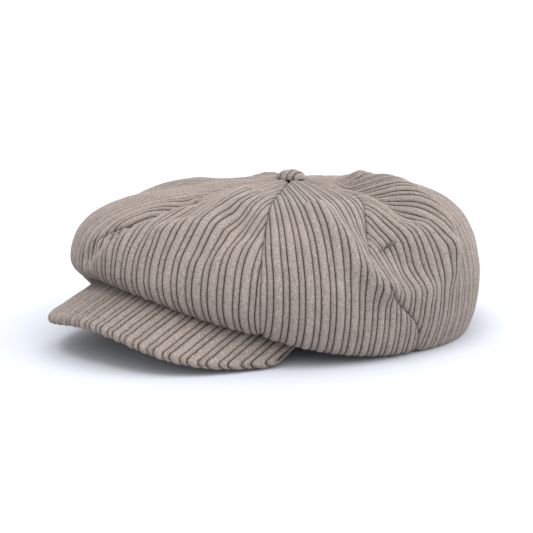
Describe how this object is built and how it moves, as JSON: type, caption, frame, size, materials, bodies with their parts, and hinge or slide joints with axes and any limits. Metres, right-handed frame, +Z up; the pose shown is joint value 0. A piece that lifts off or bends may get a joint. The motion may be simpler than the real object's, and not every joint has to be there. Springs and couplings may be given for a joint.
{
  "type": "newsboy cap",
  "caption": "Slouched newsboy cap: gored corduroy crown with covered button, hidden headband, lining and a sprung, arched visor.",
  "frame": {"origin": "on the table, under the middle of the cap's box", "axes": "+Z up from the table, -Y towards the visor, +X to the wearer's left as the cap is worn"},
  "size_m": [0.2738, 0.3115, 0.1037],
  "materials": {
    "corduroy": "warm grey thick-and-thin wale corduroy, soft napped pile",
    "lining_satin": "dark polyester satin, slightly glossy",
    "cotton_twill": "matt twill tape",
    "buckram": "stiff open-weave interlining",
    "visor_board": "flexible polyethylene board",
    "tinned_steel": "thin tinned steel sheet",
    "woven_label": "blank woven satin tape"
  },
  "bodies": {
    "cap": {"crown_gore_1": "corduroy", "crown_gore_2": "corduroy", "crown_gore_3": "corduroy", "crown_gore_4": "corduroy", "crown_gore_5": "corduroy", "crown_gore_6": "corduroy", "crown_gore_7": "corduroy", "crown_gore_8": "corduroy", "lining_gore_1": "lining_satin", "lining_gore_2": "lining_satin", "lining_gore_3": "lining_satin", "lining_gore_4": "lining_satin", "lining_gore_5": "lining_satin", "lining_gore_6": "lining_satin", "lining_gore_7": "lining_satin", "lining_gore_8": "lining_satin", "outer_band": "corduroy", "band_stiffener": "buckram", "sweatband": "cotton_twill", "care_label": "woven_label", "button_cover": "corduroy", "button_shell": "tinned_steel", "button_back_plate": "tinned_steel", "button_stem": "tinned_steel", "button_washer": "tinned_steel"},
    "visor": {"visor_top_cover": "corduroy", "visor_board": "visor_board", "visor_under_cover": "corduroy"}
  },
  "joints": [
    {"name": "visor_flex", "type": "hinge", "parent": "cap", "child": "visor", "pos_m": [0, -0.072, 0.036], "axis": [-1, 0, 0], "range_deg": [-12, 1], "stiffness_Nm_per_rad": 2}
  ]
}
